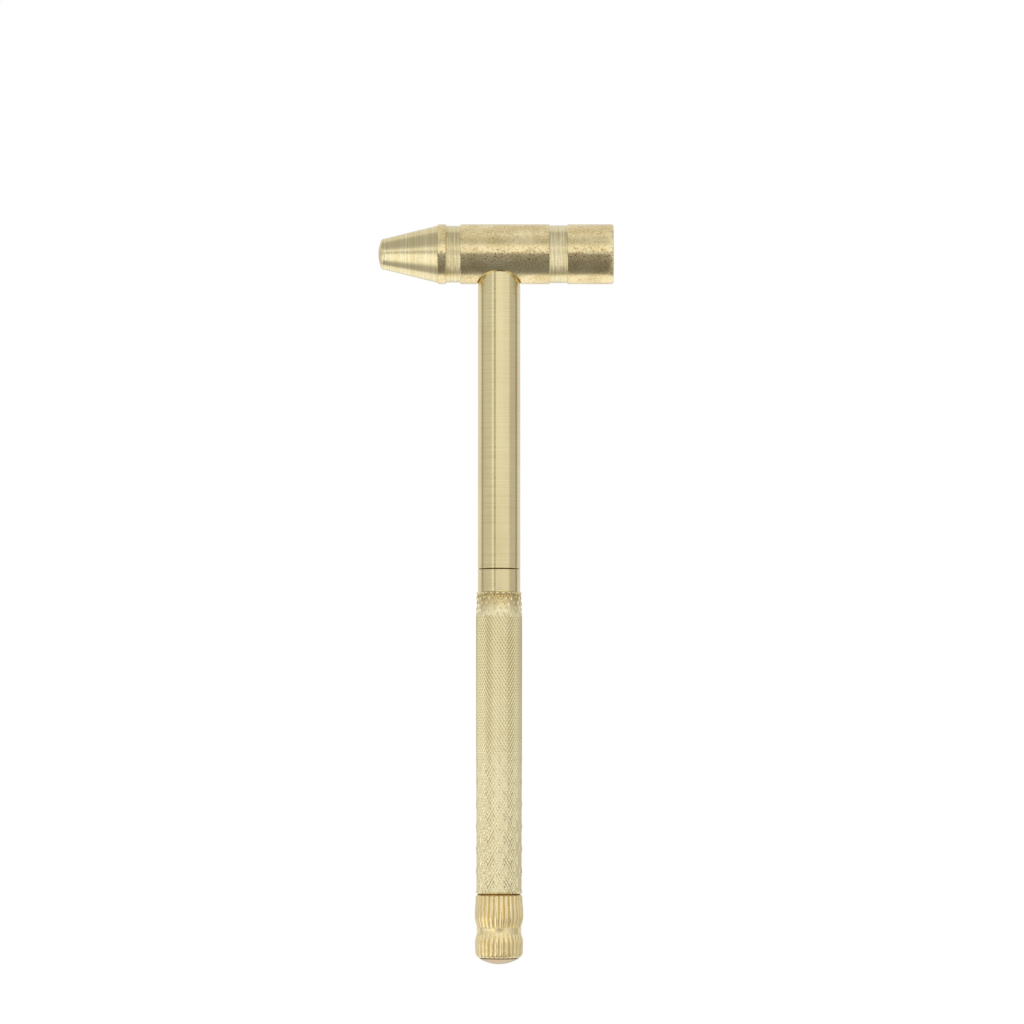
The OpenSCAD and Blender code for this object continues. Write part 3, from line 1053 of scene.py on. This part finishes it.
# Colour by depth: painted shade in the deepest hollows, a painted sheen on the groove walls, darker tops.
stops = [(0.0, "#947a42"), (0.3, "#cdb578"), (0.6, "#f6e9bd"), (0.86, "#fdf3cb"), (0.97, "#cdbb80")]
depth = add(tree, RAMP, {0: crest}, stops=stops, out=0)
dusty = add(tree, RAMP, {0: grain}, stops=[(0.35, 0.0), (0.75, 0.4)], out=0)
bright = add(tree, RAMP, {0: haze}, stops=[(0.45, 0.0), (0.7, 0.4)], out=0)
finish_metal(tree, shader, depth, [(dusty, "#d8c898"), (bright, "#f6eabc")], crest, 0.2, 0.34, grain, 0.003)
print("made", knurled.name)

# %% [markdown]
# ** Golden brass** (knob): a warmer alloy than the grip, brushed along the ribs. The end dome was faced and
# stays pinkish, with a dark line painted round it as painted shade in its turned groove, and the neck is
# painted darker as the grip's shadow.

# %% Golden brass
golden, tree, shader, place = metal("brushed golden brass")
draw = marks(tree, place, 0.2, stretch=(1, 1, 14), detail=3)
haze = marks(tree, place, 3, detail=3)
up = add(tree, "ShaderNodeSeparateXYZ", {0: place}, out=2)
base = add(tree, RAMP, {0: draw}, stops=[(0.3, "#f1d99c"), (0.7, "#fdeec0")], out=0)
dull = add(tree, RAMP, {0: haze}, stops=[(0.45, 0.0), (0.7, 0.5)], out=0)
# The neck is painted darker: a painted shadow under the grip.
painted_neck_shadow = between(tree, up, (KNOB_H + 0.03) * MM, (NECK_TOP + 0.5) * MM, 0.02 * MM)
dome = between(tree, up, -1 * MM, dome_edge_z * MM, 0.05 * MM)
# A dark line painted in the turned groove round the dome: painted shade.
painted_groove_shade = between(tree, up, (dome_edge_z + 0.02) * MM, (dome_edge_z + 0.24) * MM, 0.03 * MM)
layers = [(dull, "#efdfb4"), (painted_neck_shadow, "#b08c50"), (dome, "#c6b08c"), (painted_groove_shade, "#84703c")]
finish_metal(tree, shader, base, layers, draw, 0.26, 0.38, draw, 0.006)
print("made", golden.name)

# %% [markdown]
# **Ground steel** (blades): hardened tool steel with the fine cross lines of a grinding wheel, about
# 0.15 mm apart here so that they show.

# %% Ground steel
steel, tree, shader, place = metal("ground tool steel", turned_about="Z", anisotropy=0.5)
lines = marks(tree, place, 0.15, stretch=(40, 40, 1), detail=2)
haze = marks(tree, place, 4, detail=3)
base = add(tree, RAMP, {0: lines}, stops=[(0.3, "#a9abae"), (0.7, "#cfd0d1")], out=0)
smoky = add(tree, RAMP, {0: haze}, stops=[(0.5, 0.0), (0.75, 0.4)], out=0)
finish_metal(tree, shader, base, [(smoky, "#8f8a84")], lines, 0.22, 0.38, lines, 0.004)
print("made", steel.name)

# %% [markdown]
# ## Put the pieces on their bodies
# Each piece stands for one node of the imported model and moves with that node's body. The grip has two
# finishes: its collar, spigot and bore are turned, and only the net is rolled.

# %% Finishes and bodies
ASSEMBLY = [
    (head, "hammer_head", "head", "head_brass", aged),
    (tube, "shaft_tube", "head", "shaft_brass", satin),
    (grip, "grip_handle", "grip", "grip_brass", knurled),
    (large_steel, "large_blade", "grip", "blade_steel", steel),
    (medium_sleeve, "medium_barrel", "medium_driver", "shaft_brass", satin),
    (medium_steel, "medium_blade", "medium_driver", "blade_steel", steel),
    (small_sleeve, "small_barrel", "small_driver", "shaft_brass", satin),
    (small_steel, "small_blade", "small_driver", "blade_steel", steel),
    (knob, "tail_knob", "knob", "knob_brass", golden),
    (fine_steel, "fine_blade", "knob", "blade_steel", steel),
]
for piece, node, body, slot, material in ASSEMBLY:
    piece.data.materials.clear()
    piece.data.materials.append(material)
    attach(piece, body)
    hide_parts(node)
NET_INSIDE_R = GRIP_BORE_R + 1
grip.data.materials.append(satin)
for face in grip.data.polygons:
    z = face.center.z / MM
    r = math.hypot(face.center.x, face.center.y) / MM
    rolled = KNURL_LOW < z < KNURL_TOP and r > NET_INSIDE_R
    face.material_index = 0 if rolled else 1

# %% [markdown]
# ## Light, floor and camera
# Polished metal shows the room, so the room is the light. A soft white studio is drawn as the world: a bright
# panel just beside the camera, dimmer walls, a darker floor in front and a white sweep behind. The camera
# sees only plain white. The floor hangs far enough below for the drivers to be drawn out above it.

# %% Studio world
world = bpy.data.worlds.new("soft studio")
bpy.context.scene.world = world
world.use_nodes = True
room = world.node_tree
room.nodes.clear()
way = add(room, "ShaderNodeSeparateXYZ", {0: add(room, "ShaderNodeTexCoord", out="Generated")})
back = add(room, MATHS, {0: way.outputs[1], 1: -1.0}, operation="MULTIPLY", out=0)
side = add(room, MATHS, {0: way.outputs[0], 1: back}, operation="ARCTAN2", out=0)
side = add(room, MATHS, {0: side}, operation="DEGREES", out=0)
height = add(room, MATHS, {0: way.outputs[2]}, operation="ARCSINE", out=0)
height = add(room, MATHS, {0: height}, operation="DEGREES", out=0)
# A panel is an azimuth from and to (0 is towards the camera, more is to the right), a height from and to,
# a softness sideways and upwards, and a brightness. A later one covers an earlier one.
PANELS = [
    (-94, 96, 30, 91, 6, 10, 0.66),
    (-94, 96, 62, 91, 6, 12, 0.97),
    (-94, 96, -91, -2, 6, 5, 0.2),
    (-17, 26, -30, -2, 3, 8, 0.31),
    (-112, -34, -86, -50, 6, 10, 0.5),
    (26, 118, -86, -50, 6, 10, 0.5),
    (-94, -34, 22, 80, 3, 16, 0.52),
    (-94, -34, -50, 16, 3, 10, 1.15),
    (-94, -36, -5, 12, 3, 4, 0.62),
    (-38, -17, 22, 80, 3, 16, 0.52),
    (-38, -17, -50, 18, 3, 10, 1.42),
    (-38, -27, -1, 9, 2, 2, 0.8),
    (-28, -17, -3, 12, 2, 3, 0.2),
    (-17, 20, 0, 26, 3, 3, 1.16),
    (20, 26, -20, 60, 3, 4, 0.95),
    (26, 58, -50, 70, 4, 8, 0.92),
    (58, 98, -50, 70, 4, 8, 0.62),
    (98, 118, -50, 91, 3, 4, 0.38),
    (118, 200, -30, 91, 3, 8, 0.82),
    (-112, -94, -50, 91, 3, 8, 0.44),
    (-200, -112, -30, 91, 3, 8, 0.88),
]
WHITE = 1.2
light = WHITE
for az0, az1, el0, el1, soft_side, soft_up, level in PANELS:
    across = between(room, side, az0, az1, soft_side)
    upward = between(room, height, el0, el1, soft_up)
    mask = add(room, MATHS, {0: across, 1: upward}, operation="MULTIPLY", out=0)
    light = add(room, MIX, {0: mask, 2: light, 3: level}, data_type="FLOAT", out=0)
seen = add(room, "ShaderNodeLightPath", out="Is Camera Ray")
strength = add(room, MIX, {0: seen, 2: light, 3: 1.0}, data_type="FLOAT", out=0)
sky = add(room, "ShaderNodeBackground", {"Color": linear("#ffffff"), "Strength": strength}, out=0)
add(room, "ShaderNodeOutputWorld", {"Surface": sky})
print(f"studio of {len(PANELS)} panels")

# %% Floor and ceiling panel, in metres and watts
FLOOR_SIZE = 8
FLOOR_Z = -0.2
LAMP_SIZE = 4
LAMP_POWER = 260
LAMP_Z = 2.6

deselect_objects()
bpy.ops.mesh.primitive_plane_add(size=FLOOR_SIZE, location=(0, 0, FLOOR_Z))
floor = named("studio_floor")
place_in_mesh(floor)
card = bpy.data.materials.new("matt white card")
card.use_nodes = True
card_shader = card.node_tree.nodes["Principled BSDF"]
card_shader.inputs["Base Color"].default_value = linear("#f6f5f2")
card_shader.inputs["Roughness"].default_value = 0.9
floor.data.materials.append(card)
floor.visible_glossy = False
floor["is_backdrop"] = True

lamp_data = bpy.data.lights.new("ceiling panel", "AREA")
lamp_data.size = LAMP_SIZE
lamp_data.energy = LAMP_POWER
lamp = bpy.data.objects.new("ceiling panel", lamp_data)
bpy.context.scene.collection.objects.link(lamp)
lamp.location = (0, 0, LAMP_Z)
lamp.visible_glossy = False
print(f"floor at {FLOOR_Z} m, ceiling panel of {LAMP_POWER} W at {LAMP_Z} m")

# %% Camera
LENS = 164.6
SENSOR = 36
AIM = Vector((2.8, 0, 97.5)) * MM
STAND = Vector((2.8, -1012, 48.5)) * MM

camera_data = bpy.data.cameras.new("camera")
camera_data.lens = LENS
camera_data.sensor_width = SENSOR
camera = bpy.data.objects.new("camera", camera_data)
bpy.context.scene.collection.objects.link(camera)
bpy.context.scene.camera = camera
camera.location = STAND
camera.rotation_euler = (AIM - camera.location).to_track_quat("-Z", "Y").to_euler()
bpy.context.scene.view_settings.view_transform = "Standard"
print("camera at", [round(v, 3) for v in camera.location])

# %% Print the sizes of both boxes and finish
visual_box = [list(corner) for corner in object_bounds()]
for name, box in (("CAD", cad_box), ("visual", visual_box)):
    print(name, "size, mm:", [round((b - a) / MM, 2) for a, b in zip(*box)])
